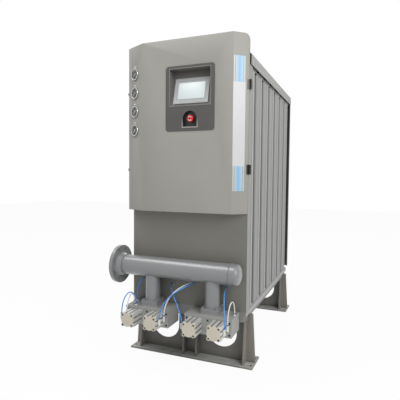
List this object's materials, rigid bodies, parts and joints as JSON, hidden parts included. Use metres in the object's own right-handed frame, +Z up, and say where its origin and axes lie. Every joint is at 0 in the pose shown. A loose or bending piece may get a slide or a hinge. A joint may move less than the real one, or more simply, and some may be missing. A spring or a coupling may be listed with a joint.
{
  "type": "desiccant air dryer",
  "caption": "Twin-tower modular desiccant air dryer: extruded columns on stands, flanged inlet manifold, actuated valve blocks and a hinged control hood.",
  "frame": {"origin": "on the floor, at the centre of the anchor holes of the two stands", "axes": "+X to the right seen from the front, +Y from the control hood to the back, +Z up"},
  "size_m": [0.794, 1.696, 1.807],
  "materials": {
    "stand_paint": "satin dark grey paint",
    "column_paint": "satin light grey paint",
    "gasket": "matte",
    "desiccant": "granular",
    "steel": "plain",
    "panel_paint": "satin warm grey paint",
    "pipe_paint": "semi-gloss grey paint",
    "valve_alu": "satin",
    "actuator_alu": "anodised",
    "cap_beige": "matte",
    "silencer": "matte",
    "fitting_white": "plain",
    "device_grey": "matte",
    "check_disc": "moulded",
    "hinge_black": "black coat",
    "fascia_grey": "matte",
    "screen_grey": "satin",
    "shroud_black": "matte",
    "button_red": "gloss",
    "gauge_chrome": "polished",
    "needle_black": "black",
    "label": "printed film",
    "tube_blue": "polyurethane",
    "tube_white": "polyurethane"
  },
  "bodies": {
    "frame": {"front_stand": "stand_paint", "rear_stand": "stand_paint", "bottom_manifold": "column_paint", "column_gaskets": "gasket", "column_module_1": "column_paint", "column_module_2": "column_paint", "column_module_3": "column_paint", "column_module_4": "column_paint", "column_module_5": "column_paint", "column_module_6": "column_paint", "column_module_7": "column_paint", "desiccant_beds": "desiccant", "bed_screens": "steel", "top_manifold": "column_paint", "front_panel": "panel_paint", "rear_panel": "panel_paint", "top_cover": "panel_paint", "inlet_manifold": "pipe_paint", "valve_block_left": "valve_alu", "valve_block_right": "valve_alu", "actuator_bodies_left": "actuator_alu", "actuator_bodies_right": "actuator_alu", "actuator_caps": "cap_beige", "exhaust_silencers": "silencer", "push_in_fittings": "fitting_white", "mounting_plate": "steel", "controller": "device_grey", "terminal_blocks": "cap_beige", "pilot_valves": "valve_alu", "outlet_manifold": "pipe_paint", "hinge_frames": "hinge_black", "tube_1": "tube_blue", "tube_2": "tube_white", "tube_3": "tube_blue", "tube_4": "tube_blue", "tube_5": "tube_white", "tube_6": "tube_blue", "tube_7": "tube_blue", "tube_8": "tube_white"},
    "hood_door": {"hood": "panel_paint", "fascia": "fascia_grey", "touch_panel": "screen_grey", "stop_shroud": "shroud_black", "gauges": "gauge_chrome", "label_strip": "label", "hinge_leaves": "hinge_black"},
    "stop_button": {"stop_button": "button_red"},
    "lock_lower": {"lock_lower": "hinge_black"},
    "lock_upper": {"lock_upper": "hinge_black"},
    "check_left": {"check_disc_left": "check_disc"},
    "check_right": {"check_disc_right": "check_disc"},
    "needle_1": {"gauge_needle_1": "needle_black"},
    "piston_1": {"valve_piston_1": "steel"},
    "needle_2": {"gauge_needle_2": "needle_black"},
    "piston_2": {"valve_piston_2": "steel"},
    "needle_3": {"gauge_needle_3": "needle_black"},
    "piston_3": {"valve_piston_3": "steel"},
    "needle_4": {"gauge_needle_4": "needle_black"},
    "piston_4": {"valve_piston_4": "steel"}
  },
  "joints": [
    {"name": "hood_hinge", "type": "hinge", "parent": "frame", "child": "hood_door", "pos_m": [0.3605, -0.625, 1.321], "axis": [0, 0, 1], "range_deg": [0, 110]},
    {"name": "lock_lower_turn", "type": "hinge", "parent": "hood_door", "child": "lock_lower", "pos_m": [-0.383, -0.6105, 1.097], "axis": [1, 0, 0], "range_deg": [0, 90]},
    {"name": "lock_upper_turn", "type": "hinge", "parent": "hood_door", "child": "lock_upper", "pos_m": [-0.383, -0.6105, 1.545], "axis": [1, 0, 0], "range_deg": [0, 90]},
    {"name": "stop_push", "type": "slide", "parent": "hood_door", "child": "stop_button", "axis": [0, 1, 0], "range_m": [0, 0.005]},
    {"name": "check_left_lift", "type": "slide", "parent": "frame", "child": "check_left", "axis": [0, 1, 0], "range_m": [0, 0.012], "stiffness_N_per_m": 300, "springref_m": -0.005},
    {"name": "check_right_lift", "type": "slide", "parent": "frame", "child": "check_right", "axis": [0, 1, 0], "range_m": [0, 0.012], "stiffness_N_per_m": 300, "springref_m": -0.005},
    {"name": "needle_1_turn", "type": "hinge", "parent": "hood_door", "child": "needle_1", "pos_m": [-0.32429, -0.65512, 1.326], "axis": [0.4443, 0.8959, 0], "range_deg": [0, 270]},
    {"name": "piston_1_slide", "type": "slide", "parent": "frame", "child": "piston_1", "axis": [0, -1, 0], "range_m": [0, 0.022]},
    {"name": "needle_2_turn", "type": "hinge", "parent": "hood_door", "child": "needle_2", "pos_m": [-0.32429, -0.65512, 1.433], "axis": [0.4443, 0.8959, 0], "range_deg": [0, 270]},
    {"name": "piston_2_slide", "type": "slide", "parent": "frame", "child": "piston_2", "axis": [0, -1, 0], "range_m": [0, 0.022]},
    {"name": "needle_3_turn", "type": "hinge", "parent": "hood_door", "child": "needle_3", "pos_m": [-0.32429, -0.65512, 1.54], "axis": [0.4443, 0.8959, 0], "range_deg": [0, 270]},
    {"name": "piston_3_slide", "type": "slide", "parent": "frame", "child": "piston_3", "axis": [0, -1, 0], "range_m": [0, 0.022]},
    {"name": "needle_4_turn", "type": "hinge", "parent": "hood_door", "child": "needle_4", "pos_m": [-0.32429, -0.65512, 1.647], "axis": [0.4443, 0.8959, 0], "range_deg": [0, 270]},
    {"name": "piston_4_slide", "type": "slide", "parent": "frame", "child": "piston_4", "axis": [0, -1, 0], "range_m": [0, 0.022]}
  ]
}
